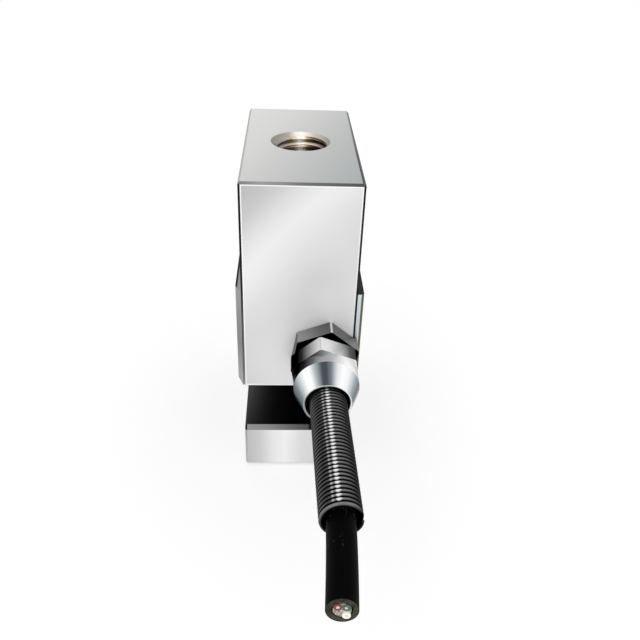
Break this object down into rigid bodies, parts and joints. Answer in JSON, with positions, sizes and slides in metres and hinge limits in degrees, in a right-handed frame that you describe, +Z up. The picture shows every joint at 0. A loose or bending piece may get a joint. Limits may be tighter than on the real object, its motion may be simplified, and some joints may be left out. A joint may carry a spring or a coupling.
{
  "type": "s type load cell",
  "caption": "S-shaped steel load cell with a threaded hole in each arm, side covers, and a cable that leaves through a gland with a spring strain relief.",
  "frame": {"origin": "middle of the block's bottom face, on the load axis through both threaded holes", "axes": "+Z up along the load axis, X through the block's thickness with the gland towards +X, -Y towards the cable"},
  "size_m": [0.0282, 0.1145, 0.0762],
  "materials": {
    "block_steel": "polished nickel-plated alloy steel",
    "cover_plate": "satin stainless sheet",
    "gland_nickel": "turned and nickel-plated brass",
    "spring_wire": "drawn spring wire",
    "seal_rubber": "moulded black rubber",
    "jacket_black": "extruded black jacket",
    "wire_red": "red insulation",
    "wire_green": "green insulation",
    "wire_white": "white insulation",
    "wire_black": "black insulation",
    "bare_copper": "stranded copper",
    "gauge_film": "polyimide foil gauge",
    "board_laminate": "glass epoxy laminate",
    "solder_tin": "solder",
    "chip_ceramic": "ceramic chip",
    "potting_soft": "soft silicone potting"
  },
  "bodies": {
    "root": {"s_body": "block_steel", "cover_left": "cover_plate", "cover_right": "cover_plate", "cover_seal_left": "seal_rubber", "cover_seal_right": "seal_rubber", "gland_body": "gland_nickel", "gland_seal_ring": "seal_rubber", "gland_grommet": "seal_rubber", "slip_washer": "gland_nickel", "cap_nut": "gland_nickel", "strain_relief_spring": "spring_wire", "cable_jacket": "jacket_black", "conductor_red": "wire_red", "conductor_green": "wire_green", "conductor_white": "wire_white", "conductor_black": "wire_black", "strain_gauge_left_upper": "gauge_film", "strain_gauge_left_lower": "gauge_film", "strain_gauge_right_upper": "gauge_film", "strain_gauge_right_lower": "gauge_film", "terminal_board_left": "board_laminate", "terminal_board_right": "board_laminate", "board_pillars_left": "solder_tin", "board_pillars_right": "solder_tin", "gauge_leads_left": "bare_copper", "gauge_leads_right": "bare_copper", "crossover_leads": "bare_copper", "solder_posts": "solder_tin", "trim_resistor_zero": "chip_ceramic", "trim_resistor_span": "chip_ceramic", "potting_left": "potting_soft", "potting_right": "potting_soft"}
  },
  "joints": []
}
